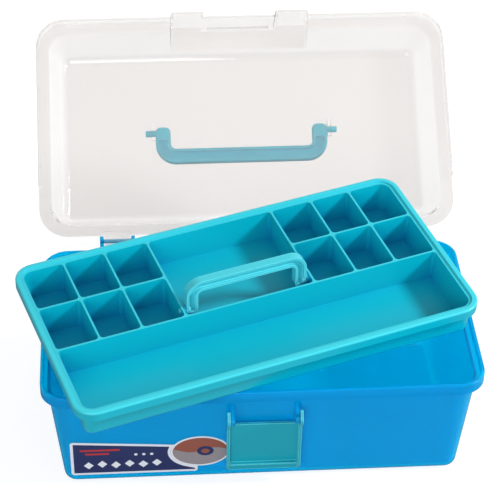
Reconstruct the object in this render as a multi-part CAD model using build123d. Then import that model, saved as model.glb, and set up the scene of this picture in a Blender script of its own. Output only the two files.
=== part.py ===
from build123d import *
import os
from math import atan2, cos, degrees, radians, sin, tan

# Open craft and tackle box with a lift-out tray, in millimetres, +Z up.
# The box stands on z = 0 with its front toward -Y and its long side along X.

# Driving sizes
box_length = 330.0
box_depth = 176.0
box_height = 100.0
rim_corner = 20.0
rim_height = 9.0
rim_step = 5.0
wall = 2.3
wall_draft = 6.0
floor_thickness = 2.4
bottom_round = 8.0

# Clearances
sliding_gap = 0.3
pin_gap = 0.05
glue_gap = 0.05

# Box hinge ears, two pairs behind the rim
hinge_back = 7.5
hinge_up = 2.0
hinge_centre = 106.0
ear_span = 22.0
ear_thickness = 3.0
ear_round = 4.2
knuckle_round = 4.0
hinge_pin_radius = 1.6
hinge_axis_y = box_depth / 2 + hinge_back
hinge_axis_z = box_height + hinge_up

# Lid, drawn closed and then swung open
lid_overhang = 3.0
lid_wall = 1.8
lid_shoulder = 8.0
lid_skirt = 8.0
lid_rise = 34.0
lid_draft = 20.0
lid_crown_round = 9.0
lid_corner = 23.0
skirt_back_end = 50.0
lid_open_angle = 142.0
lid_length = box_length + 2 * lid_overhang
lid_depth = box_depth + 2 * lid_overhang
lid_seat = box_height + sliding_gap

# Catch block on the lid's front edge
catch_width = 114.0
catch_proud = 4.0
catch_top = 26.0
recess_width = 60.0
ridge_height = 2.2
ridge_proud = 2.6

# Lid handle, folded toward the hinge
grip_width = 144.0
grip_reach = 26.5
grip_foot = 5.0
grip_band = 12.5
grip_thickness = 7.0
grip_corner = 17.0
handle_pin_radius = 2.6
handle_pin_end = 5.0
bracket_thickness = 3.0
bracket_round = 5.5
handle_lift = 6.2
handle_forward = 5.7

# Tray
tray_length = 319.0
tray_depth = 166.5
tray_height = 28.0
tray_corner = 16.0
lip_height = 8.0
lip_skirt = 1.6
lip_set_back = 5.0
lip_rail = 4.0
lip_step = 1.5
tray_wall = 1.8
tray_draft = 5.0
tray_floor = 1.8
divider = 1.5
cell_draft = 1.0
cell_corner = 3.0
column_lines = (52.0, 86.5, 119.5)
back_row_line = 34.0
front_row_line = -12.0
tray_yaw = 18.3
tray_shift_x = -9.8
tray_shift_y = -5.0

# Tray handle, standing up
bail_height = 27.0
bail_band = 9.0
bail_depth = 6.5
bail_web = 2.0
bail_corner = 13.0
bail_pin_radius = 2.0
bail_boss_round = 4.6
bail_boss_depth = 2.4
bail_drop = 5.2

# Front latch, hanging open from lugs under the rim
latch_width = 56.0
latch_flange = 2.0
latch_web = 2.0
latch_length = 60.0
latch_web_start = 10.0
latch_web_offset = 4.8
latch_ear_round = 5.0
latch_pin_radius = 1.9
latch_pivot_y = -box_depth / 2 - 2.0
latch_pivot_z = box_height - 25.0
latch_swing = 184.0
lug_thickness = 3.2
lug_round = 4.0

# Paper labels on the front wall
label_width = 96.0
label_height = 38.0
label_slope = 8.0
label_end_gap = 19.5
label_centre_z = 28.5
label_thickness = 0.2
oval_width = 45.0
oval_height = 34.0
oval_centre_z = 32.5
label_centre_x = -box_length / 2 + label_end_gap + label_width / 2
oval_centre_x = -latch_width / 2 - oval_width / 2 + 3.0


# Rounded plate outline
def rounded(length, depth, corner):
    return RectangleRounded(length, depth, corner)


# Prism with drafted sides; a positive draft leans the sides outward as it rises
def drafted(length, depth, corner, low, high, draft):
    sheet = Pos(0, 0, low) * rounded(length, depth, corner)
    return extrude(sheet, high - low, taper=-draft)


# Straight prism between two heights
def prism(length, depth, corner, low, high):
    return extrude(Pos(0, 0, low) * rounded(length, depth, corner), high - low)


# Round bar along X
def bar(radius, start, end, y, z):
    return Pos((start + end) / 2, y, z) * Rot(0, 90, 0) * Cylinder(radius, abs(end - start))


# Flat plate in the YZ plane, between two X positions
def side_plate(points, start, end):
    face = make_face(Polyline(*[(start, y, z) for y, z in points], close=True))
    return extrude(face, abs(end - start), dir=(1 if end > start else -1, 0, 0))


# Box shell with its stepped rim
def box_shell():
    rim_low = box_height - rim_height
    top_length = box_length - 2 * rim_step
    top_depth = box_depth - 2 * rim_step
    lean = rim_low * tan(radians(wall_draft))
    base_length = top_length - 2 * lean
    base_depth = top_depth - 2 * lean
    lower = drafted(base_length, base_depth, 9.0, 0, rim_low, wall_draft)
    lower = fillet(lower.faces().sort_by(Axis.Z)[0].edges(), bottom_round)
    rim = prism(box_length, box_depth, rim_corner, rim_low, box_height)
    rim = fillet(rim.faces().sort_by(Axis.Z)[-1].outer_wire().edges(), 1.0)
    inner_lean = floor_thickness * tan(radians(wall_draft))
    inner_length = base_length - 2 * wall + 2 * inner_lean
    inner_depth = base_depth - 2 * wall + 2 * inner_lean
    hollow = drafted(inner_length, inner_depth, 7.0, floor_thickness, rim_low + 1.0, wall_draft)
    hollow = fillet(hollow.faces().sort_by(Axis.Z)[0].edges(), bottom_round - wall)
    seat = prism(box_length - 2 * wall, box_depth - 2 * wall, rim_corner - wall,
                 rim_low + floor_thickness, box_height + 1)
    throat = prism(top_length - 2 * wall, top_depth - 2 * wall, rim_corner - rim_step - wall + 3,
                   rim_low, box_height)
    return lower + rim - hollow - seat - throat


# One hinge ear: a round eye on a web that grows out of the rim's back face
def hinge_ear(start):
    end = start + ear_thickness
    eye = bar(ear_round, start, end, hinge_axis_y, hinge_axis_z)
    foot = box_depth / 2 - 1.5
    low = box_height - rim_height
    web = side_plate([(foot, low), (foot, box_height - 0.2), (hinge_axis_y - ear_round + 0.6, box_height + 0.3),
                      (hinge_axis_y, hinge_axis_z), (hinge_axis_y + ear_round - 0.5, hinge_axis_z - 1.5),
                      (hinge_axis_y - 0.5, low + 2.0)], start, end)
    return eye + web


# Lug under the rim that carries the latch pin
def latch_lug(start):
    end = start + lug_thickness
    front = -box_depth / 2 + rim_step + wall / 2
    eye = bar(lug_round, start, end, latch_pivot_y, latch_pivot_z)
    web = side_plate([(front, latch_pivot_z + 9), (front + 2.6, latch_pivot_z - 9),
                      (latch_pivot_y - 0.5, latch_pivot_z - lug_round + 0.1),
                      (latch_pivot_y - 0.5, latch_pivot_z + lug_round - 0.1)], start, end)
    return eye + web


# Box body with ears, latch lugs and drilled eyes
def make_box():
    body = box_shell()
    for side in (-1, 1):
        for edge in (-1, 1):
            centre = side * hinge_centre + edge * (ear_span + ear_thickness) / 2
            body += hinge_ear(centre - ear_thickness / 2)
    for side in (-1, 1):
        inner = latch_width / 2 - latch_flange - sliding_gap - lug_thickness
        start = inner if side > 0 else -inner - lug_thickness
        body += latch_lug(start)
    for side in (-1, 1):
        reach = ear_span / 2 + ear_thickness + 1
        body -= bar(hinge_pin_radius, side * hinge_centre - reach, side * hinge_centre + reach,
                    hinge_axis_y, hinge_axis_z)
    body -= bar(latch_pin_radius + pin_gap, -latch_width / 2, latch_width / 2, latch_pivot_y, latch_pivot_z)
    return body


# Two plain pins pressed into the ears
def make_hinge_pins():
    reach = ear_span / 2 + ear_thickness
    pins = [bar(hinge_pin_radius, side * hinge_centre - reach, side * hinge_centre + reach,
                hinge_axis_y, hinge_axis_z) for side in (-1, 1)]
    return pins


# Outer and inner forms of the lid share this drawing; inset is the wall taken off
def lid_form(inset, low, shoulder_top):
    base = prism(lid_length - 2 * inset, lid_depth - 2 * inset, lid_corner - inset, low, shoulder_top)
    length = lid_length - 2 * lid_shoulder - 2 * inset
    depth = lid_depth - 2 * lid_shoulder - 2 * inset
    crown_top = box_height + lid_rise - inset
    crown = extrude(Pos(0, 0, shoulder_top - 0.5) * rounded(length, depth, lid_corner - 4 - inset),
                    crown_top - shoulder_top + 0.5, taper=lid_draft)
    crown = fillet(crown.faces().sort_by(Axis.Z)[-1].edges(), lid_crown_round - inset)
    return base, crown


# Block on the lid's front edge with the latch's recess and catch ridge
def catch_block(inset):
    front = -lid_depth / 2 - catch_proud + inset
    back = -lid_depth / 2 + lid_shoulder + catch_top * tan(radians(lid_draft)) + 3
    low = box_height - lid_skirt
    top = box_height + catch_top - inset
    wide = catch_width - 2 * inset
    block = Pos(0, (front + back) / 2, (low + top) / 2) * Box(wide, back - front, top - low)
    corners = block.edges().filter_by(Axis.Z).group_by(Axis.Y)[0]
    block = fillet(corners, 3.0 - inset)
    recess_back = -lid_depth / 2 + inset
    recess = Pos(0, (front - 2 + recess_back) / 2, (low + top) / 2)
    return block - recess * Box(recess_width + 2 * inset, recess_back - front + 2, top - low + 2)


# Standing bracket on the crown that holds one end of the lid handle
def handle_bracket(start):
    end = start + bracket_thickness
    low = box_height + lid_rise - 1.0
    centre = box_height + lid_rise + handle_lift
    middle = -handle_forward
    eye = bar(bracket_round, start, end, middle, centre)
    web = side_plate([(middle - bracket_round - 3, low), (middle - bracket_round, centre),
                      (middle + bracket_round, centre), (middle + bracket_round + 3, low)], start, end)
    return eye + web


# Knuckle that turns on a hinge pin, joined to the lid's back edge
def lid_knuckle(side):
    half = ear_span / 2 - sliding_gap
    start = side * hinge_centre - half
    end = side * hinge_centre + half
    eye = bar(knuckle_round, start, end, hinge_axis_y, hinge_axis_z)
    strap = side_plate([(lid_depth / 2 - 4, lid_seat), (hinge_axis_y, lid_seat),
                        (hinge_axis_y, hinge_axis_z + knuckle_round - 0.6), (lid_depth / 2 - 4, hinge_axis_z + 1.2)],
                       start, end)
    return eye + strap - bar(hinge_pin_radius + pin_gap, start - 1, end + 1, hinge_axis_y, hinge_axis_z)


# Lid in its closed place
def make_lid_closed():
    shoulder = lid_seat + lid_wall
    base, crown = lid_form(0.0, box_height - lid_skirt, shoulder)
    base = fillet(base.faces().sort_by(Axis.Z)[-1].edges(), 1.2)
    inner_base, inner_crown = lid_form(lid_wall, box_height - lid_skirt - 1, lid_seat)
    lid = base + crown + catch_block(0.0)
    lid -= inner_base
    lid -= inner_crown
    lid -= catch_block(lid_wall)
    back_cut = lid_depth / 2 + 2 - skirt_back_end
    lid -= Pos(0, skirt_back_end + back_cut / 2, lid_seat - lid_skirt) * Box(lid_length + 4, back_cut, 2 * lid_skirt)
    ridge_y = -lid_depth / 2
    ridge_z = box_height + catch_top - ridge_height
    ridge = make_face(Polyline((-recess_width / 2 + 4, ridge_y + 0.4, ridge_z - 2.4),
                               (-recess_width / 2 + 4, ridge_y - ridge_proud, ridge_z),
                               (-recess_width / 2 + 4, ridge_y - ridge_proud, ridge_z + ridge_height),
                               (-recess_width / 2 + 4, ridge_y + 0.4, ridge_z + ridge_height), close=True))
    lid += extrude(ridge, recess_width - 8, dir=(1, 0, 0))
    for side in (-1, 1):
        lid += lid_knuckle(side)
        gap = grip_width / 2 + sliding_gap
        lid += handle_bracket(gap if side > 0 else -gap - bracket_thickness)
    centre = box_height + lid_rise + handle_lift
    reach = grip_width / 2 + bracket_thickness + 2
    lid -= bar(handle_pin_radius + pin_gap, -reach, reach, -handle_forward, centre)
    return lid


# Swing a closed-lid solid to its open place
def opened(solid):
    to_axis = Pos(0, -hinge_axis_y, -hinge_axis_z)
    back = Pos(0, hinge_axis_y, hinge_axis_z)
    return back * Rot(-lid_open_angle, 0, 0) * to_axis * solid


# U-shaped handle outline in the XY plane, its pivot line on y = 0 and its feet below it
def bail_outline(width, reach, band, corner, foot):
    outer = Pos(0, (reach - foot) / 2) * Rectangle(width, reach + foot)
    outer = fillet(outer.vertices().group_by(Axis.Y)[-1], corner)
    inner_reach = reach - band
    inner = Pos(0, (inner_reach - foot - 1) / 2) * Rectangle(width - 2 * band, inner_reach + foot + 1)
    inner = fillet(inner.vertices().group_by(Axis.Y)[-1], max(corner - band, 3.0))
    outline = outer - inner
    if foot > 0:
        outline = fillet(outline.vertices().group_by(Axis.Y)[0], min(foot, band / 2) * 0.9)
    return outline


# Teal carrying handle of the lid, in its closed-lid place, folded back
def make_lid_handle():
    outline = bail_outline(grip_width, grip_reach, grip_band, grip_corner, grip_foot)
    centre = box_height + lid_rise + handle_lift
    plate = extrude(outline, grip_thickness / 2, both=True)
    plate = fillet(plate.edges().group_by(Axis.Z)[-1], 1.8)
    plate = fillet(plate.edges().group_by(Axis.Z)[0], 1.8)
    rail = 2.5
    channel = bail_outline(grip_width - 2 * rail, grip_reach - rail, grip_band - 2 * rail, grip_corner - rail,
                           -grip_foot - 1.0)
    plate -= Pos(0, 0, -grip_thickness / 2) * extrude(channel, grip_thickness - 2.6)
    handle = Pos(0, -handle_forward, centre) * plate
    reach = grip_width / 2 + bracket_thickness + sliding_gap + handle_pin_end
    for side in (-1, 1):
        handle += bar(handle_pin_radius, side * (grip_width / 2 - 2), side * reach, -handle_forward, centre)
    return handle


# One tray cell: a drafted pocket between its four top edges
def tray_cell(left, right, front, back):
    top = tray_height - lip_step
    depth = top - tray_floor
    sheet = Pos((left + right) / 2, (front + back) / 2, top) * rounded(right - left, back - front, cell_corner)
    return extrude(sheet, -depth, taper=cell_draft)


# Lists the cells as left, right, front and back edges
def cell_edges():
    half = divider / 2
    side = tray_length / 2 - lip_set_back - tray_wall
    end = tray_depth / 2 - lip_set_back - tray_wall
    lines = list(column_lines) + [side + half]
    rows = [(front_row_line + half, back_row_line - half), (back_row_line + half, end)]
    cells = []
    for index in range(3):
        for front, back in rows:
            cells.append((lines[index] + half, lines[index + 1] - half, front, back))
            cells.append((-lines[index + 1] + half, -lines[index] - half, front, back))
    well = (-column_lines[0] + half, column_lines[0] - half, front_row_line + half, end)
    trough = (-side, side, -end, front_row_line - half)
    return cells, well, trough


# Tray on its own flat bottom at z = 0
def make_tray_flat():
    flange_low = tray_height - 3.4
    body_length = tray_length - 2 * lip_set_back
    body_depth = tray_depth - 2 * lip_set_back
    lean = flange_low * tan(radians(tray_draft))
    body = drafted(body_length - 2 * lean, body_depth - 2 * lean, 6.0, 0, flange_low, tray_draft)
    body = fillet(body.faces().sort_by(Axis.Z)[0].edges(), 3.0)
    lip = prism(tray_length, tray_depth, tray_corner, tray_height - lip_height, tray_height)
    lip = fillet(lip.faces().sort_by(Axis.Z)[-1].edges(), 1.3)
    lip -= prism(tray_length - 2 * lip_skirt, tray_depth - 2 * lip_skirt, tray_corner - lip_skirt,
                 tray_height - lip_height - 1, flange_low)
    lip -= prism(tray_length - 2 * lip_rail, tray_depth - 2 * lip_rail, tray_corner - lip_rail,
                 tray_height - lip_step, tray_height + 1)
    tray = body + lip
    top = tray_height - lip_step
    rise = top - tray_floor
    inner_lean = rise * tan(radians(tray_draft))
    inner = drafted(body_length - 2 * tray_wall - 2 * inner_lean, body_depth - 2 * tray_wall - 2 * inner_lean,
                    6.0, tray_floor, top, tray_draft)
    cells, well, trough = cell_edges()
    pivot_z = top - bail_drop
    boss_inner = column_lines[0] - divider / 2 - bail_boss_depth
    for edges in cells + [trough]:
        tray -= tray_cell(*edges) & inner
    tray -= tray_cell(*well) & inner
    for side in (-1, 1):
        tray += bar(bail_boss_round, side * boss_inner, side * column_lines[0], 0, pivot_z)
        tray -= bar(bail_pin_radius + pin_gap, side * (boss_inner - 1), side * (column_lines[0] + 4), 0, pivot_z)
    return tray


# Upright tray handle in the tray's own frame
def make_tray_handle_flat():
    pivot_z = tray_height - lip_step - bail_drop
    width = 2 * (column_lines[0] - divider / 2 - bail_boss_depth - sliding_gap)
    eye = 4.2
    outline = bail_outline(width, bail_height, bail_band, bail_corner, eye)
    web = extrude(outline, bail_web / 2, both=True)
    band = extrude(outline, bail_depth / 2, both=True)
    pocket = bail_outline(width - 4.0, bail_height - 2.0, bail_band - 4.0, bail_corner - 2.0, 0.5)
    handle = band - extrude(pocket, bail_depth, both=True) + web
    handle = Rot(90, 0, 0) * handle
    for side in (-1, 1):
        handle += bar(bail_pin_radius, side * (width / 2 - 1.0), side * (column_lines[0] + 1.6), 0, 0)
        handle += bar(eye - 0.2, side * (width / 2 - 3.2), side * width / 2, 0, 0)
    return Pos(0, 0, pivot_z) * handle


# Angle that rests the tray on the front rim and on the open lid's hinge-side shoulder
def tray_tilt():
    reach = hinge_back - lid_overhang + lid_shoulder + lid_wall
    drop = lid_seat - hinge_axis_z
    swing = radians(lid_open_angle)
    shoulder_y = hinge_axis_y - reach * cos(swing) + drop * sin(swing)
    shoulder_z = hinge_axis_z + reach * sin(swing) + drop * cos(swing)
    return degrees(atan2(shoulder_z + sliding_gap - box_height, shoulder_y + box_depth / 2))


# Put a tray-frame solid where the tray lies across the open box
def laid_across(solid):
    turned = Pos(tray_shift_x, tray_shift_y, 0) * Rot(0, 0, tray_yaw) * solid
    tilted = Rot(tray_tilt(), 0, 0) * Pos(0, box_depth / 2, 0) * turned
    return Pos(0, -box_depth / 2, box_height + sliding_gap) * tilted


# Latch in its closed place, pivot on the origin
def latch_closed():
    half = latch_width / 2
    web_back = -latch_web_offset
    web_front = web_back - latch_web
    start = latch_web_start
    web = Pos(0, (web_back + web_front) / 2, (start + latch_length) / 2)
    latch = web * Box(latch_width, latch_web, latch_length - start)
    lid_gap = -lid_depth / 2 - 0.5 - latch_pivot_y
    for side in (-1, 1):
        inner = side * (half - latch_flange)
        cheek = side_plate([(-latch_ear_round, 0), (web_front, start), (web_front, latch_length - 6),
                            (web_back - 0.5, latch_length), (web_back, latch_length),
                            (lid_gap, latch_length - 7), (lid_gap, start + 2), (latch_ear_round - 1.2, 0)],
                           inner, side * half)
        eye = bar(latch_ear_round, inner, side * half, 0, 0)
        tip = side_plate([(-latch_ear_round + 0.6, -1.5), (latch_ear_round - 0.6, -1.5), (0.8, -8.0), (-0.8, -8.0)],
                         inner, side * half)
        latch += cheek + eye + tip
    hook_z = box_height + catch_top + sliding_gap - latch_pivot_z
    hook_tip = -lid_depth / 2 - 0.9 - latch_pivot_y
    hook = side_plate([(web_back - 0.5, hook_z), (hook_tip, hook_z), (hook_tip, hook_z + 1.2),
                       (web_back - 0.5, hook_z + 3.4)], -recess_width / 2 + 5, recess_width / 2 - 5)
    latch += hook
    lip = side_plate([(web_front + 0.4, latch_length), (web_front - 2.4, latch_length + 0.6),
                      (web_front - 2.4, latch_length - 1.4), (web_front + 0.4, latch_length - 4)], -half + 6, half - 6)
    latch += lip
    for side in (-1, 1):
        latch += bar(latch_pin_radius, side * (half - latch_flange + 0.5),
                     side * (half - latch_flange - sliding_gap - lug_thickness), 0, 0)
    return latch


# Latch swung down to hang open
def make_latch():
    return Pos(0, latch_pivot_y, latch_pivot_z) * Rot(latch_swing, 0, 0) * latch_closed()


# Place a flat front-facing sheet on the leaning front wall at a given height
def on_front_wall(sheet, x, z):
    rim_low = box_height - rim_height
    face_y = -(box_depth / 2 - rim_step) + (rim_low - z) * tan(radians(wall_draft))
    place = Pos(x, face_y, z) * Rot(90 + wall_draft, 0, 0)
    return place * Pos(0, 0, glue_gap) * extrude(sheet, label_thickness)


# Paper label with rounded corners, its top edge falling toward the oval
def make_label():
    across = label_width / 2
    up = label_height / 2
    sheet = make_face(Polyline((-across, -up), (across, -up), (across, up - label_slope), (-across, up), close=True))
    sheet = fillet(sheet.vertices(), 2.5)
    hole = Pos(oval_centre_x - label_centre_x, oval_centre_z - label_centre_z) * Ellipse(
        oval_width / 2 + 0.1, oval_height / 2 + 0.1)
    return on_front_wall(sheet - hole, label_centre_x, label_centre_z)


# Oval paper label that finishes the row
def make_oval():
    return on_front_wall(Ellipse(oval_width / 2, oval_height / 2), oval_centre_x, oval_centre_z)


def save(name, shape):
    if isinstance(shape, (list, tuple, ShapeList)):
        shape = Compound(children=list(shape))
    shape.label = name
    export_step(shape, os.path.join("parts", name + ".step"))
    size = shape.bounding_box().size
    print(name, "volume", round(shape.volume, 1), "size", [round(v, 1) for v in (size.X, size.Y, size.Z)],
          "solids", len(shape.solids()), "valid", shape.is_valid)


def main():
    os.makedirs("parts", exist_ok=True)
    save("box_body", make_box())
    save("hinge_pins", make_hinge_pins())
    save("lid", opened(make_lid_closed()))
    save("lid_handle", opened(make_lid_handle()))
    save("tray", laid_across(make_tray_flat()))
    save("tray_handle", laid_across(make_tray_handle_flat()))
    save("front_latch", make_latch())
    save("front_label", make_label())
    save("oval_label", make_oval())


main()
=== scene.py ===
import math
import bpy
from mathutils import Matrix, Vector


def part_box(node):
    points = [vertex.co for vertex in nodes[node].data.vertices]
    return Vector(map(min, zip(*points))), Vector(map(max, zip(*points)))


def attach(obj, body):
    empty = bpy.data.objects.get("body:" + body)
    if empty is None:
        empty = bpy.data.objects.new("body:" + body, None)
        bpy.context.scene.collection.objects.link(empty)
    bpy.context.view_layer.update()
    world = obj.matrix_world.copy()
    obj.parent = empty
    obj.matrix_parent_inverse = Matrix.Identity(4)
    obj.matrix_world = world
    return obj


bl_info = {
    "name": "Open tackle box",
    "version": (1, 0, 0),
    "blender": (4, 5, 0),
    "location": "View3D > Sidebar > Tackle Box",
    "description": "Dresses the packed tackle box: plastics, printed labels, studio and camera",
    "category": "Object",
}

import bmesh
import bpy
from bpy.props import FloatProperty, FloatVectorProperty, IntProperty, PointerProperty
from mathutils import Matrix, Vector

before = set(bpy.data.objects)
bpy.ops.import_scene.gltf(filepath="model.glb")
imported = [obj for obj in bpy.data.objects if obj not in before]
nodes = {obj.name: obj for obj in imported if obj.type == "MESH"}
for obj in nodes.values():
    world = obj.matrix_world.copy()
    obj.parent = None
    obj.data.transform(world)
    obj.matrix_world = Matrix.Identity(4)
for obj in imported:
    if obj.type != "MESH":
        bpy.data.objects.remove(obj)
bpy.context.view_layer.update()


# Camera and stage values that no setting changes

PHOTO_PIXELS = 500
SENSOR_WIDTH = 36.0
CLIP_NEAR = 0.05
CLIP_FAR = 50.0
RIM_MIDDLE = (0.0, 0.0, 0.1)
LAMP_AIM = (0.0, 0.05, 0.08)
FLOOR_REACH = 8.0
FLOOR_DROP = 0.0002
FLOOR_ROUGHNESS = 0.9
FLOOR_SPECULAR = 0.1
WHITE = (1.0, 1.0, 1.0, 1.0)
GREY = (0.5, 0.5, 0.5, 1.0)


# Finish of the plastics

PLASTIC_IOR = 1.49
BODY_IOR = 1.15
BODY_COAT = 0.15
BODY_COAT_ROUGHNESS = 0.15
LID_IOR = 1.05
LID_ROUGHNESS = 0.05
LID_COAT = 1.0
LID_COAT_ROUGHNESS = 0.03
LID_FACING = 0.62
FILM_ROUGHNESS = 0.38
GRIP_DULLER = 0.04
LATCH_DULLER = 0.08
# Painted edge light and shade: edge widths, strength and samples
THIN_EDGE = 0.8
PIN_EDGE = 0.5
EDGE_GAIN = 5.0
BODY_EDGE_GAIN = 4.0
EDGE_SAMPLES = 4
# Painted pocket shade: occlusion range and samples
POCKET_DARK = 0.15
POCKET_LIGHT = 0.55
POCKET_SAMPLES = 6
# Softness of the painted rim highlight
RIM_SOFTNESS = 0.0006
MOULDING_DETAIL = 1.5


# Moulded texture: noise scale, bump strength and bump distance

TEAL_TEXTURE = (14.0, 0.12, 0.0006)
BODY_TEXTURE = (9.0, 0.15, 0.0010)
LID_TEXTURE = (7.0, 0.10, 0.0010)
FILM_TEXTURE = (30.0, 0.05, 0.0002)


# Layout of the front label: lengths in metres, a diamond's half width as a share of its pitch

FIELD_STEPS = 24
DASHES = ((0.005, 0.030), (0.009, 0.018))
DASH_DROP = 0.0085
DASH_PITCH = 0.0042
DASH_TALL = 0.0020
DIAMOND_START = 0.006
DIAMOND_ROOM = 0.062
DIAMOND_RISE = 0.0085
DIAMOND_STEP = 0.0012
DIAMOND_WIDE = 0.36
DIAMOND_TALL = 0.0040
DOTS = 3
DOT_START = 0.047
DOT_PITCH = 0.006
DOT_DROP = 0.0135
DOT_RADIUS = 0.0013
DOT_POINTS = 20


# Layout of the oval label: shares of its half sizes, its border as a share of the front label's

OVAL_BORDER = 0.7
BAND_FIT = 0.985
BAND_RISE = 0.10
BAND_WAVE = 0.16
BAND_TURN = 7.0
BAND_STEPS = 40
DISC_MIDDLE = (0.18, 0.02)
DISC_SIZE = (0.30, 0.34)
DISC_POINTS = 40
SPOT_SIZE = (0.15, 0.17)
SPOT_POINTS = 32


# Back of a printed layer, as a share of its height over the film

PRINT_BACK = 0.2


# Settings

class PlasticSettings(bpy.types.PropertyGroup):
    """Colours and gloss of the moulded plastics, with the colours of their painted edge light and shade,
    painted rim highlight and painted pocket shade.
    """

    teal: FloatVectorProperty(
        name="Teal", description="Colour of the tray's open faces",
        subtype="COLOR", size=3, min=0.0, max=1.0, default=(0.0, 0.43, 0.56))
    # Painted edge light: a lighter teal painted along thin edges
    teal_painted_edge_light: FloatVectorProperty(
        name="Teal painted edge light", description="Lighter teal where a thin edge lets light through",
        subtype="COLOR", size=3, min=0.0, max=1.0, default=(0.18, 0.86, 0.94))
    # Painted shade: a bluer, darker teal painted at the bottom of the small cells
    teal_painted_pocket_shade: FloatVectorProperty(
        name="Teal painted pocket shade", description="Bluer teal at the bottom of the small cells",
        subtype="COLOR", size=3, min=0.0, max=1.0, default=(0.0, 0.255, 0.56))
    # Reach of the painted pocket shade
    pocket_shade_reach: FloatProperty(
        name="Pocket shade reach", description="How far a wall has to be away to leave the colour light",
        default=0.03, min=0.0, unit="LENGTH")
    # Painted highlight: a lighter teal painted on the tray's lip and divider tops
    teal_painted_rim_light: FloatVectorProperty(
        name="Teal painted rim light", description="Teal of the tray's lip and divider tops",
        subtype="COLOR", size=3, min=0.0, max=1.0, default=(0.04, 0.60, 0.71))
    # Painted light: a paler copy of the tray's teal, for light through the thin handle
    teal_bail_painted_light: FloatVectorProperty(
        name="Teal bail painted light", description="Paler teal of the thin tray handle",
        subtype="COLOR", size=3, min=0.0, max=1.0, default=(0.06, 0.58, 0.68))
    teal_grip: FloatVectorProperty(
        name="Teal grip", description="Bluer teal of the lid handle",
        subtype="COLOR", size=3, min=0.0, max=1.0, default=(0.02, 0.67, 0.87))
    teal_latch: FloatVectorProperty(
        name="Teal latch", description="Deeper teal of the latch",
        subtype="COLOR", size=3, min=0.0, max=1.0, default=(0.0, 0.36, 0.47))
    # Height of the painted rim highlight band
    painted_rim_band: FloatProperty(
        name="Painted rim band", description="Height of the lighter band under the tray's top",
        default=0.0020, min=0.0, unit="LENGTH")
    blue: FloatVectorProperty(
        name="Blue", description="Box body colour",
        subtype="COLOR", size=3, min=0.0, max=1.0, default=(0.0, 0.56, 0.89))
    # Painted edge shade: a deeper blue painted along the edges of the box and pins
    blue_painted_edge_shade: FloatVectorProperty(
        name="Blue painted edge shade", description="Deeper blue along the edges of the box and pins",
        subtype="COLOR", size=3, min=0.0, max=1.0, default=(0.0, 0.40, 0.84))
    clear: FloatVectorProperty(
        name="Clear", description="Tint of the clear lid",
        subtype="COLOR", size=3, min=0.0, max=1.0, default=(0.78, 0.755, 0.74))
    clear_steep: FloatVectorProperty(
        name="Clear, steep", description="Tint of the clear lid where it is seen nearly edge on",
        subtype="COLOR", size=3, min=0.0, max=1.0, default=(0.97, 0.965, 0.96))
    body_clarity: FloatProperty(
        name="Body clarity", description="How much light goes through the blue plastic",
        default=0.7, min=0.0, max=1.0)
    lid_clarity: FloatProperty(
        name="Lid clarity", description="How much light goes through the clear plastic",
        default=0.90, min=0.0, max=1.0)
    tray_roughness: FloatProperty(
        name="Tray roughness", description="Surface roughness of the teal plastic",
        default=0.33, min=0.0, max=1.0)
    body_roughness: FloatProperty(
        name="Body roughness", description="Surface roughness of the blue plastic",
        default=0.22, min=0.0, max=1.0)
    edge_radius: FloatProperty(
        name="Edge radius", description="Width over which the colour changes along an edge",
        default=0.0015, min=0.0, unit="LENGTH")


class LabelSettings(bpy.types.PropertyGroup):
    """Sizes and colours of the printed labels."""

    border: FloatProperty(
        name="Border", description="Width of the white border",
        default=0.0022, min=0.0, unit="LENGTH")
    print_lift: FloatProperty(
        name="Print lift", description="Height of each printed layer over the film",
        default=0.00006, min=0.0, unit="LENGTH")
    field: FloatVectorProperty(
        name="Field", description="Navy of the printed field",
        subtype="COLOR", size=3, min=0.0, max=1.0, default=(0.012, 0.022, 0.115))
    film: FloatVectorProperty(
        name="Film", description="White of the label film",
        subtype="COLOR", size=3, min=0.0, max=1.0, default=(0.80, 0.84, 0.92))
    clay: FloatVectorProperty(
        name="Clay", description="Terracotta of the oval",
        subtype="COLOR", size=3, min=0.0, max=1.0, default=(0.30, 0.085, 0.055))
    stone: FloatVectorProperty(
        name="Stone", description="Grey of the oval's lower band",
        subtype="COLOR", size=3, min=0.0, max=1.0, default=(0.30, 0.27, 0.29))
    signal: FloatVectorProperty(
        name="Signal", description="Red of the two dashes on the label",
        subtype="COLOR", size=3, min=0.0, max=1.0, default=(0.50, 0.03, 0.03))
    marks: IntProperty(
        name="Marks", description="Number of pale diamonds in the lower row", default=6, min=1, max=20)
    slope: FloatProperty(
        name="Slope", description="Fall of the label's top edge over its width",
        default=0.008, min=0.0, unit="LENGTH")


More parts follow.
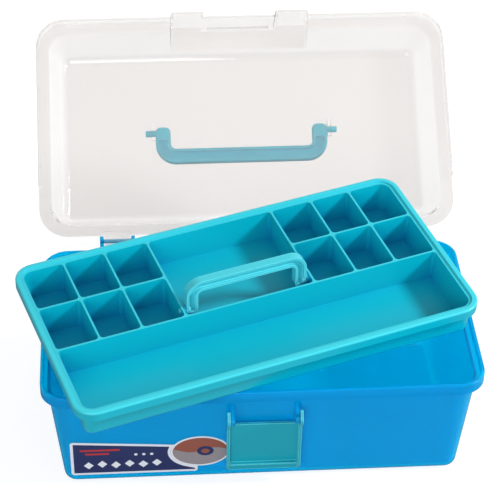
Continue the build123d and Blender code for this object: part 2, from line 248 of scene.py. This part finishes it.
class StudioSettings(bpy.types.PropertyGroup):
    """Lamps, backdrop and camera."""

    lens_pixels: FloatProperty(
        name="Lens in pixels", description="Focal length counted in pixels of the photograph's frame",
        default=1871.0, min=100.0)
    pitch: FloatProperty(
        name="Pitch", description="How far the camera looks down",
        default=math.radians(38.05), subtype="ANGLE", unit="ROTATION")
    turn: FloatProperty(
        name="Turn", description="How far the camera stands to the left of the front",
        default=math.radians(4.47), subtype="ANGLE", unit="ROTATION")
    roll: FloatProperty(
        name="Roll", description="Camera roll",
        default=math.radians(-1.0), subtype="ANGLE", unit="ROTATION")
    aim_x: FloatProperty(
        name="Aim across", description="Frame column where the middle of the rim shows", default=257.3)
    aim_y: FloatProperty(
        name="Aim down", description="Frame row where the middle of the rim shows", default=315.1)
    distance: FloatProperty(
        name="Distance", description="Depth of the rim's middle from the camera",
        default=1.437, min=0.1, unit="LENGTH")
    key_power: FloatProperty(
        name="Key power", description="Main lamp, on the right", default=34.0, min=0.0, unit="POWER")
    key_side: FloatProperty(
        name="Key size", description="Side of the main lamp", default=0.35, min=0.01, unit="LENGTH")
    key_place: FloatVectorProperty(
        name="Key place", description="Where the main lamp stands",
        subtype="TRANSLATION", unit="LENGTH", size=3, default=(1.55, -0.25, 1.25))
    fill_power: FloatProperty(
        name="Fill power", description="Weak lamp in front, a little to the left",
        default=17.0, min=0.0, unit="POWER")
    fill_side: FloatProperty(
        name="Fill size", description="Side of the weak lamp", default=1.2, min=0.01, unit="LENGTH")
    fill_place: FloatVectorProperty(
        name="Fill place", description="Where the weak lamp stands",
        subtype="TRANSLATION", unit="LENGTH", size=3, default=(-0.5, -1.6, 0.7))
    sky: FloatProperty(
        name="Sky", description="Strength of the even surrounding light", default=0.42, min=0.0)
    floor_tone: FloatProperty(
        name="Floor tone", description="Grey of the floor under the lamps", default=0.36, min=0.0, max=1.0)
    floor_glow: FloatProperty(
        name="Floor glow", description="White that the floor adds where it is seen", default=0.79, min=0.0)


# Shader helpers

def add_node(tree, kind, x, y, **settings):
    """A node of one kind at a place in a tree, with its settings."""
    node = tree.nodes.new(kind)
    node.location = (x, y)
    for name, value in settings.items():
        setattr(node, name, value)
    return node


def wire(tree, *pairs):
    """Links each output with the input beside it."""
    for output, socket in pairs:
        tree.links.new(output, socket)


def fill_in(node, values):
    """Sets a node's inputs by name."""
    for name, value in values.items():
        node.inputs[name].default_value = value


def rgba(colour):
    """A colour with full alpha."""
    return (*colour, 1.0)


def new_material(name):
    """A material with one Principled shader wired to its output."""
    material = bpy.data.materials.new(name)
    material.use_nodes = True
    tree = material.node_tree
    tree.nodes.clear()
    output = add_node(tree, "ShaderNodeOutputMaterial", 600, 0)
    shader = add_node(tree, "ShaderNodeBsdfPrincipled", 300, 0)
    wire(tree, (shader.outputs["BSDF"], output.inputs["Surface"]))
    return material, tree, shader


# Shared node groups

def new_group(name, inputs, output, kind):
    """A node group with named inputs and one output, and its two end nodes."""
    group = bpy.data.node_groups.new(name, "ShaderNodeTree")
    for label, socket_type, value in inputs:
        socket = group.interface.new_socket(name=label, in_out="INPUT", socket_type=socket_type)
        socket.default_value = value
    group.interface.new_socket(name=output, in_out="OUTPUT", socket_type=kind)
    start = add_node(group, "NodeGroupInput", -700, 0)
    end = add_node(group, "NodeGroupOutput", 500, 0)
    return group, start, end


def painted_edge_shading_group(name):
    """Node group: a colour that turns into another one along edges: painted edge light when the edge colour is
    lighter, painted edge shade when it is darker.
    """
    group, start, end = new_group(name, (
        ("Radius", "NodeSocketFloat", 0.001),
        ("Gain", "NodeSocketFloat", 4.0),
        ("Base", "NodeSocketColor", GREY),
        ("Edge", "NodeSocketColor", WHITE)), "Color", "NodeSocketColor")
    bevel = add_node(group, "ShaderNodeBevel", -500, 150, samples=EDGE_SAMPLES)
    geometry = add_node(group, "ShaderNodeNewGeometry", -500, -100)
    dot = add_node(group, "ShaderNodeVectorMath", -300, 50, operation="DOT_PRODUCT")
    turned = add_node(group, "ShaderNodeMath", -120, 50, operation="SUBTRACT")
    turned.inputs[0].default_value = 1.0
    scale = add_node(group, "ShaderNodeMath", 60, 50, operation="MULTIPLY", use_clamp=True)
    mix = add_node(group, "ShaderNodeMix", 260, 0, data_type="RGBA")
    wire(group,
         (start.outputs["Radius"], bevel.inputs["Radius"]),
         (bevel.outputs["Normal"], dot.inputs[0]),
         (geometry.outputs["Normal"], dot.inputs[1]),
         (dot.outputs["Value"], turned.inputs[1]),
         (turned.outputs[0], scale.inputs[0]),
         (start.outputs["Gain"], scale.inputs[1]),
         (scale.outputs[0], mix.inputs["Factor"]),
         (start.outputs["Base"], mix.inputs["A"]),
         (start.outputs["Edge"], mix.inputs["B"]),
         (mix.outputs["Result"], end.inputs["Color"]))
    return group


def painted_rim_light_group(name):
    """Node group: a colour that changes above a plane, a painted highlight on a moulding's top edges."""
    group, start, end = new_group(name, (
        ("Up", "NodeSocketVector", (0.0, 0.0, 1.0)),
        ("Level", "NodeSocketFloat", 0.0),
        ("Softness", "NodeSocketFloat", 0.001),
        ("Below", "NodeSocketColor", GREY),
        ("Above", "NodeSocketColor", WHITE)), "Color", "NodeSocketColor")
    coords = add_node(group, "ShaderNodeTexCoord", -700, 250)
    height = add_node(group, "ShaderNodeVectorMath", -450, 150, operation="DOT_PRODUCT")
    over = add_node(group, "ShaderNodeMath", -250, 100, operation="SUBTRACT")
    ramp = add_node(group, "ShaderNodeMath", -50, 100, operation="DIVIDE", use_clamp=True)
    mix = add_node(group, "ShaderNodeMix", 200, 0, data_type="RGBA")
    wire(group,
         (coords.outputs["Object"], height.inputs[0]),
         (start.outputs["Up"], height.inputs[1]),
         (height.outputs["Value"], over.inputs[0]),
         (start.outputs["Level"], over.inputs[1]),
         (over.outputs[0], ramp.inputs[0]),
         (start.outputs["Softness"], ramp.inputs[1]),
         (ramp.outputs[0], mix.inputs["Factor"]),
         (start.outputs["Below"], mix.inputs["A"]),
         (start.outputs["Above"], mix.inputs["B"]),
         (mix.outputs["Result"], end.inputs["Color"]))
    return group


def painted_pocket_shade_group(name):
    """Node group: painted shade, a colour that deepens where ambient occlusion finds a surface in a narrow
    pocket.
    """
    group, start, end = new_group(name, (
        ("Reach", "NodeSocketFloat", 0.03),
        ("Dark", "NodeSocketFloat", 0.0),
        ("Light", "NodeSocketFloat", 1.0),
        ("Open", "NodeSocketColor", WHITE),
        ("Deep", "NodeSocketColor", GREY)), "Color", "NodeSocketColor")
    shade = add_node(group, "ShaderNodeAmbientOcclusion", -450, 150, samples=POCKET_SAMPLES)
    ramp = add_node(group, "ShaderNodeMapRange", -200, 150)
    mix = add_node(group, "ShaderNodeMix", 100, 0, data_type="RGBA")
    wire(group,
         (start.outputs["Reach"], shade.inputs["Distance"]),
         (shade.outputs["AO"], ramp.inputs["Value"]),
         (start.outputs["Dark"], ramp.inputs["From Min"]),
         (start.outputs["Light"], ramp.inputs["From Max"]),
         (ramp.outputs["Result"], mix.inputs["Factor"]),
         (start.outputs["Deep"], mix.inputs["A"]),
         (start.outputs["Open"], mix.inputs["B"]),
         (mix.outputs["Result"], end.inputs["Color"]))
    return group


def moulding_group(name):
    """Node group: the faint unevenness of a moulded face, as a height."""
    group, start, end = new_group(name, (("Scale", "NodeSocketFloat", 20.0),), "Height", "NodeSocketFloat")
    coords = add_node(group, "ShaderNodeTexCoord", -700, -150)
    noise = add_node(group, "ShaderNodeTexNoise", -200, 0)
    noise.inputs["Detail"].default_value = MOULDING_DETAIL
    wire(group,
         (coords.outputs["Object"], noise.inputs["Vector"]),
         (start.outputs["Scale"], noise.inputs["Scale"]),
         (noise.outputs[0], end.inputs["Height"]))
    return group


GROUPS = {
    "Painted edge shading": painted_edge_shading_group,
    "Painted rim light": painted_rim_light_group,
    "Painted pocket shade": painted_pocket_shade_group,
    "Moulding texture": moulding_group,
}


def add_group(tree, name, x, y, values):
    """Places a shared group, built the first time, with a material's own values."""
    group = bpy.data.node_groups.get(name) or GROUPS[name](name)
    holder = add_node(tree, "ShaderNodeGroup", x, y, node_tree=group)
    fill_in(holder, values)
    return holder


def add_moulding(tree, shader, texture):
    """A faint moulded waviness on a shader's normal."""
    scale, strength, distance = texture
    waves = add_group(tree, "Moulding texture", -300, -400, {"Scale": scale})
    bump = add_node(tree, "ShaderNodeBump", 0, -350)
    fill_in(bump, {"Strength": strength, "Distance": distance})
    wire(tree,
         (waves.outputs["Height"], bump.inputs["Height"]),
         (bump.outputs["Normal"], shader.inputs["Normal"]))


def paint_edge_shading(tree, shader, base, edge, radius, gain):
    """Colours a shader, with another tone painted along edges: painted edge light on the teal pieces, painted
    edge shade on the blue ones.
    """
    toned = add_group(tree, "Painted edge shading", 0, 50,
                      {"Radius": radius, "Gain": gain, "Base": rgba(base), "Edge": rgba(edge)})
    wire(tree, (toned.outputs["Color"], shader.inputs["Base Color"]))


# Materials

def opaque_plastic(name, base, edge, roughness, radius):
    """Glossy coloured plastic with another tone painted on its thin edges: painted edge light on the teal
    pieces, painted edge shade on the blue pins.
    """
    material, tree, shader = new_material(name)
    fill_in(shader, {"Roughness": roughness, "IOR": PLASTIC_IOR})
    paint_edge_shading(tree, shader, base, edge, radius, EDGE_GAIN)
    add_moulding(tree, shader, TEAL_TEXTURE)
    return material


def tray_plastic(look):
    """The tray's teal, with a painted highlight along its lip and divider tops and painted shade deeper in its
    cells.
    """
    mesh = nodes["tray"].data
    floor = max(mesh.polygons, key=lambda p: p.area if p.normal.z > 0.5 else 0.0)
    up = floor.normal.copy()
    top = max(v.co.dot(up) for v in mesh.vertices)
    material, tree, shader = new_material("Tray teal plastic")
    fill_in(shader, {"Roughness": look.tray_roughness, "IOR": PLASTIC_IOR})
    # Painted shade in the cells, from ambient occlusion
    pocket = add_group(tree, "Painted pocket shade", -150, 250,
                       {"Reach": look.pocket_shade_reach, "Dark": POCKET_DARK, "Light": POCKET_LIGHT,
                        "Open": rgba(look.teal), "Deep": rgba(look.teal_painted_pocket_shade)})
    # Painted highlight on the lip and divider tops
    rim = add_group(tree, "Painted rim light", 100, 250,
                    {"Up": up, "Level": top - look.painted_rim_band, "Softness": RIM_SOFTNESS,
                     "Above": rgba(look.teal_painted_rim_light)})
    wire(tree,
         (pocket.outputs["Color"], rim.inputs["Below"]),
         (rim.outputs["Color"], shader.inputs["Base Color"]))
    add_moulding(tree, shader, TEAL_TEXTURE)
    return material


def translucent_blue(look):
    """Blue plastic that lets some light through, with painted edge shade in a deeper blue along its edges."""
    material, tree, shader = new_material("Body blue plastic")
    fill_in(shader, {"Roughness": look.body_roughness, "IOR": BODY_IOR,
                     "Transmission Weight": look.body_clarity,
                     "Coat Weight": BODY_COAT, "Coat Roughness": BODY_COAT_ROUGHNESS})
    paint_edge_shading(tree, shader, look.blue, look.blue_painted_edge_shade, look.edge_radius, BODY_EDGE_GAIN)
    add_moulding(tree, shader, BODY_TEXTURE)
    return material


def clear_plastic(look):
    """Water-clear plastic of the lid, paler where it is seen nearly edge on."""
    material, tree, shader = new_material("Lid clear plastic")
    facing = add_node(tree, "ShaderNodeLayerWeight", -300, 150)
    facing.inputs["Blend"].default_value = LID_FACING
    tint = add_node(tree, "ShaderNodeMix", 0, 150, data_type="RGBA")
    tint.inputs["A"].default_value = rgba(look.clear)
    tint.inputs["B"].default_value = rgba(look.clear_steep)
    wire(tree,
         (facing.outputs["Facing"], tint.inputs["Factor"]),
         (tint.outputs["Result"], shader.inputs["Base Color"]))
    fill_in(shader, {"Roughness": LID_ROUGHNESS, "IOR": LID_IOR,
                     "Transmission Weight": look.lid_clarity,
                     "Coat Weight": LID_COAT, "Coat Roughness": LID_COAT_ROUGHNESS})
    add_moulding(tree, shader, LID_TEXTURE)
    return material


def printed_film(name, colour):
    """Satin printed film."""
    material, tree, shader = new_material(name)
    fill_in(shader, {"Base Color": rgba(colour), "Roughness": FILM_ROUGHNESS})
    add_moulding(tree, shader, FILM_TEXTURE)
    return material


def give(node, material):
    """Puts one material on every slot of a carried CAD node."""
    mesh = nodes[node].data
    if not mesh.materials:
        mesh.materials.append(material)
        return
    for index in range(len(mesh.materials)):
        mesh.materials[index] = material


# Printed shapes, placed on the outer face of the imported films

def film_plane(node):
    """Centre, right, up and outward directions of a flat label's outer face."""
    mesh = nodes[node].data
    face = max(mesh.polygons, key=lambda p: p.area if p.normal.y < 0 else 0.0)
    normal = face.normal.copy()
    spot = mesh.vertices[face.vertices[0]].co.copy()
    right = Vector((1.0, 0.0, 0.0))
    up = normal.cross(right).normalized()
    if up.z < 0:
        up = -up
    low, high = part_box(node)
    centre = (Vector(low) + Vector(high)) * 0.5
    centre -= normal * ((centre - spot).dot(normal))
    return centre, right, up, normal


def flat_piece(name, outline, plane, lift, material, body="box"):
    """A thin printed shape: an outline in the label's own plane, given a little thickness."""
    centre, right, up, normal = plane
    mesh = bpy.data.meshes.new(name)
    build = bmesh.new()
    lower, upper = (
        [build.verts.new(centre + right * x + up * y + normal * level) for x, y in outline]
        for level in (lift * PRINT_BACK, lift))
    build.faces.new(upper)
    build.faces.new(list(reversed(lower)))
    count = len(outline)
    for i in range(count):
        j = (i + 1) % count
        build.faces.new((lower[i], lower[j], upper[j], upper[i]))
    bmesh.ops.recalc_face_normals(build, faces=build.faces[:])
    build.to_mesh(mesh)
    build.free()
    piece = bpy.data.objects.new(name, mesh)
    bpy.context.scene.collection.objects.link(piece)
    mesh.materials.append(material)
    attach(piece, body)
    return piece


def ellipse(cx, cy, rx, ry, count=56):
    """Points round an ellipse."""
    return [(cx + rx * math.cos(2 * math.pi * i / count), cy + ry * math.sin(2 * math.pi * i / count))
            for i in range(count)]


def rectangle(left, bottom, width, height):
    """Corner points of a rectangle."""
    right = left + width
    top = bottom + height
    return [(left, bottom), (right, bottom), (right, top), (left, top)]


# Operators

class TACKLE_OT_mouldings(bpy.types.Operator):
    """Give every moulded piece its plastic"""

    bl_idname = "tackle.mouldings"
    bl_label = "Moulded pieces"

    def execute(self, context):
        look = context.scene.tackle_plastic
        rough = look.tray_roughness
        thin = look.edge_radius * THIN_EDGE
        # The teal pieces get painted edge light and the pins get painted edge shade
        give("lid_handle", opaque_plastic(
            "Handle teal plastic", look.teal_grip, look.teal_painted_edge_light, rough + GRIP_DULLER, thin))
        give("tray", tray_plastic(look))
        # The tray handle gets the paler, painted-light teal
        give("tray_handle", opaque_plastic(
            "Tray handle plastic", look.teal_bail_painted_light, look.teal_painted_edge_light, rough, thin))
        give("front_latch", opaque_plastic(
            "Latch plastic", look.teal_latch, look.teal_painted_edge_light, rough + LATCH_DULLER, thin))
        give("box_body", translucent_blue(look))
        give("hinge_pins", opaque_plastic(
            "Pin blue plastic", look.blue, look.blue_painted_edge_shade, look.body_roughness, look.edge_radius * PIN_EDGE))
        give("lid", clear_plastic(look))
        return {"FINISHED"}


class TACKLE_OT_labels(bpy.types.Operator):
    """Print the two front labels with plain generic shapes"""

    bl_idname = "tackle.labels"
    bl_label = "Front labels"

    def execute(self, context):
        look = context.scene.tackle_label
        film = printed_film("Label film white", look.film)
        field = printed_film("Label field navy", look.field)
        clay = printed_film("Label clay", look.clay)
        stone = printed_film("Label stone", look.stone)
        signal = printed_film("Label signal red", look.signal)
        give("front_label", film)
        give("oval_label", film)
        self.print_front(look, field, film, signal)
        self.print_oval(look, clay, stone, field)
        return {"FINISHED"}

    def print_front(self, look, field, film, signal):
        """Prints the navy field, cut back round the oval and under the sloping top edge."""
        plane = film_plane("front_label")
        centre = plane[0]
        lean = plane[2].z
        low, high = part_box("front_label")
        half_width = (high[0] - low[0]) / 2
        half_height = (high[2] - low[2]) / 2 / lean
        oval_low, oval_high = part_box("oval_label")
        oval_x = (oval_low[0] + oval_high[0]) / 2 - centre.x
        oval_y = ((oval_low[2] + oval_high[2]) / 2 - centre.z) / lean
        rx = (oval_high[0] - oval_low[0]) / 2 + look.border
        ry = (oval_high[2] - oval_low[2]) / 2 / lean + look.border
        left = -half_width + look.border
        right = half_width - look.border
        bottom = -half_height + look.border
        top = half_height - look.border
        fall = look.slope / (2 * half_width)
        points = [(left, bottom)]
        for i in range(FIELD_STEPS + 1):
            y = bottom + (top - bottom) * i / FIELD_STEPS
            reach = 1.0 - ((y - oval_y) / ry) ** 2
            edge = right
            if reach > 0:
                edge = min(right, oval_x - rx * math.sqrt(reach))
            if y > top - fall * (edge - left):
                break
            points.append((edge, y))
        edge = points[-1][0]
        points.append((edge, top - fall * (edge - left)))
        points.append((left, top))
        flat_piece("front_label_field", points, plane, look.print_lift, field)
        self.print_marks(look, plane, film, signal, left, bottom, top)

    def print_marks(self, look, plane, film, signal, left, bottom, top):
        """Prints the red dashes, the row of diamonds and the dots on the field."""
        lift = look.print_lift * 2
        for i, (start, length) in enumerate(DASHES):
            dash = rectangle(left + start, top - DASH_DROP - i * DASH_PITCH, length, DASH_TALL)
            flat_piece("front_label_dash_%d" % (i + 1), dash, plane, lift, signal)
        pitch = DIAMOND_ROOM / look.marks
        half = pitch * DIAMOND_WIDE
        for i in range(look.marks):
            x = left + DIAMOND_START + (i + 0.5) * pitch
            y = bottom + DIAMOND_RISE + DIAMOND_STEP * (i % 2)
            mark = [(x - half, y), (x, y - DIAMOND_TALL), (x + half, y), (x, y + DIAMOND_TALL)]
            flat_piece("front_label_diamond_%d" % (i + 1), mark, plane, lift, film)
        for i in range(DOTS):
            spot = ellipse(left + DOT_START + DOT_PITCH * i, top - DOT_DROP, DOT_RADIUS, DOT_RADIUS, DOT_POINTS)
            flat_piece("front_label_dot_%d" % (i + 1), spot, plane, lift, film)

    def print_oval(self, look, clay, stone, field):
        """Prints the clay oval with its wavy grey band, dark disc and clay spot."""
        plane = film_plane("oval_label")
        low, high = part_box("oval_label")
        inset = look.border * OVAL_BORDER
        rx = (high[0] - low[0]) / 2 - inset
        ry = (high[2] - low[2]) / 2 / plane[2].z - inset
        lift = look.print_lift
        flat_piece("oval_label_field", ellipse(0, 0, rx, ry), plane, lift, clay)
        band = []
        for i in range(BAND_STEPS + 1):
            angle = math.pi + math.pi * i / BAND_STEPS
            band.append((rx * BAND_FIT * math.cos(angle), ry * BAND_FIT * math.sin(angle)))
        for i in range(1, BAND_STEPS):
            x = rx * BAND_FIT * (1 - 2 * i / BAND_STEPS)
            band.append((x, BAND_RISE * ry + BAND_WAVE * ry * math.sin(BAND_TURN * i / BAND_STEPS)))
        flat_piece("oval_label_band", band, plane, lift * 2, stone)
        cx = rx * DISC_MIDDLE[0]
        cy = ry * DISC_MIDDLE[1]
        disc = ellipse(cx, cy, rx * DISC_SIZE[0], ry * DISC_SIZE[1], DISC_POINTS)
        flat_piece("oval_label_disc", disc, plane, lift * 3, field)
        spot = ellipse(cx, cy, rx * SPOT_SIZE[0], ry * SPOT_SIZE[1], SPOT_POINTS)
        flat_piece("oval_label_spot", spot, plane, lift * 4, clay)


class TACKLE_OT_stage(bpy.types.Operator):
    """Floor, even surrounding light and soft lamps"""

    bl_idname = "tackle.stage"
    bl_label = "Stage and lamps"

    def execute(self, context):
        studio = context.scene.tackle_studio
        self.floor(studio)
        self.sky(context.scene, studio.sky)
        self.lamp("Key lamp", studio.key_place, studio.key_side, studio.key_power)
        self.lamp("Fill lamp", studio.fill_place, studio.fill_side, studio.fill_power)
        return {"FINISHED"}

    def seen(self, tree):
        """A mask for rays from the camera and rays that pass a clear piece."""
        path = add_node(tree, "ShaderNodeLightPath", -500, -300)
        either = add_node(tree, "ShaderNodeMath", -300, -300, operation="MAXIMUM")
        wire(tree,
             (path.outputs["Is Camera Ray"], either.inputs[0]),
             (path.outputs["Is Transmission Ray"], either.inputs[1]))
        return either.outputs[0]

    def floor(self, studio):
        """A pale floor that keeps the shadow and adds white only where it is seen."""
        mesh = bpy.data.meshes.new("Floor")
        side = FLOOR_REACH
        mesh.from_pydata([(-side, -side, 0), (side, -side, 0), (side, side, 0), (-side, side, 0)], [],
                         [(0, 1, 2, 3)])
        floor = bpy.data.objects.new("Floor", mesh)
        floor.location = (0, 0, -FLOOR_DROP)
        bpy.context.scene.collection.objects.link(floor)
        material, tree, shader = new_material("Pale floor")
        tone = studio.floor_tone
        fill_in(shader, {"Base Color": (tone, tone, tone, 1.0), "Roughness": FLOOR_ROUGHNESS,
                         "Specular IOR Level": FLOOR_SPECULAR, "Emission Color": WHITE})
        glow = add_node(tree, "ShaderNodeMath", -100, -300, operation="MULTIPLY")
        glow.inputs[1].default_value = studio.floor_glow
        wire(tree,
             (self.seen(tree), glow.inputs[0]),
             (glow.outputs[0], shader.inputs["Emission Strength"]))
        mesh.materials.append(material)

    def sky(self, scene, strength):
        """Even light all round, plain white where it is seen."""
        world = bpy.data.worlds.new("Studio")
        scene.world = world
        world.use_nodes = True
        tree = world.node_tree
        tree.nodes.clear()
        output = add_node(tree, "ShaderNodeOutputWorld", 600, 0)
        even = add_node(tree, "ShaderNodeBackground", 200, 100)
        fill_in(even, {"Color": WHITE, "Strength": strength})
        plain = add_node(tree, "ShaderNodeBackground", 200, -100)
        fill_in(plain, {"Color": WHITE, "Strength": 1.0})
        mix = add_node(tree, "ShaderNodeMixShader", 400, 0)
        wire(tree,
             (self.seen(tree), mix.inputs["Fac"]),
             (even.outputs[0], mix.inputs[1]),
             (plain.outputs[0], mix.inputs[2]),
             (mix.outputs[0], output.inputs["Surface"]))

    def lamp(self, name, place, side, power):
        """A square soft lamp that looks at the box."""
        light = bpy.data.lights.new(name, "AREA")
        light.shape = "SQUARE"
        light.size = side
        light.energy = power
        lamp = bpy.data.objects.new(name, light)
        lamp.location = place
        aim = Vector(LAMP_AIM) - Vector(place)
        lamp.rotation_euler = aim.to_track_quat("-Z", "Y").to_euler()
        bpy.context.scene.collection.objects.link(lamp)


class TACKLE_OT_camera(bpy.types.Operator):
    """Stand the camera where the photograph was taken"""

    bl_idname = "tackle.camera"
    bl_label = "Camera"

    def execute(self, context):
        studio = context.scene.tackle_studio
        data = bpy.data.cameras.new("Camera")
        data.sensor_width = SENSOR_WIDTH
        data.sensor_fit = "HORIZONTAL"
        data.lens = studio.lens_pixels / PHOTO_PIXELS * data.sensor_width
        data.clip_start = CLIP_NEAR
        data.clip_end = CLIP_FAR
        camera = bpy.data.objects.new("Camera", data)
        context.scene.collection.objects.link(camera)
        pitch, turn, roll = studio.pitch, studio.turn, studio.roll
        forward = Vector((math.sin(turn) * math.cos(pitch), math.cos(turn) * math.cos(pitch),
                          -math.sin(pitch)))
        level = Vector((math.cos(turn), -math.sin(turn), 0.0))
        below = forward.cross(level)
        right = level * math.cos(roll) + below * math.sin(roll)
        down = below * math.cos(roll) - level * math.sin(roll)
        half = PHOTO_PIXELS / 2
        ray = forward + right * ((studio.aim_x - half) / studio.lens_pixels)
        ray += down * ((studio.aim_y - half) / studio.lens_pixels)
        place = Vector(RIM_MIDDLE) - ray * studio.distance
        turned = Matrix((right, -down, -forward)).transposed().to_4x4()
        camera.matrix_world = Matrix.Translation(place) @ turned
        context.scene.camera = camera
        return {"FINISHED"}


class TACKLE_PT_panel(bpy.types.Panel):
    """Tackle box tools"""

    bl_idname = "TACKLE_PT_panel"
    bl_label = "Tackle Box"
    bl_space_type = "VIEW_3D"
    bl_region_type = "UI"
    bl_category = "Tackle Box"

    def draw(self, context):
        layout = self.layout
        for step in STEPS:
            layout.operator(step.bl_idname)
        scene = context.scene
        for group in (scene.tackle_plastic, scene.tackle_label, scene.tackle_studio):
            for name in group.bl_rna.properties.keys():
                if name not in ("rna_type", "name"):
                    layout.prop(group, name)


STEPS = (TACKLE_OT_mouldings, TACKLE_OT_labels, TACKLE_OT_stage, TACKLE_OT_camera)
CLASSES = (PlasticSettings, LabelSettings, StudioSettings) + STEPS + (TACKLE_PT_panel,)


def register():
    """Adds the classes and the scene's settings."""
    for kind in CLASSES:
        bpy.utils.register_class(kind)
    bpy.types.Scene.tackle_plastic = PointerProperty(type=PlasticSettings)
    bpy.types.Scene.tackle_label = PointerProperty(type=LabelSettings)
    bpy.types.Scene.tackle_studio = PointerProperty(type=StudioSettings)


def unregister():
    """Removes them again."""
    del bpy.types.Scene.tackle_studio
    del bpy.types.Scene.tackle_label
    del bpy.types.Scene.tackle_plastic
    for kind in reversed(CLASSES):
        bpy.utils.unregister_class(kind)


def main():
    """Registers the tools, dresses the box and sets a plain view transform."""
    register()
    bpy.ops.tackle.mouldings()
    bpy.ops.tackle.labels()
    bpy.ops.tackle.stage()
    bpy.ops.tackle.camera()
    scene = bpy.context.scene
    scene.view_settings.view_transform = "Standard"


if __name__ == "__main__":
    main()
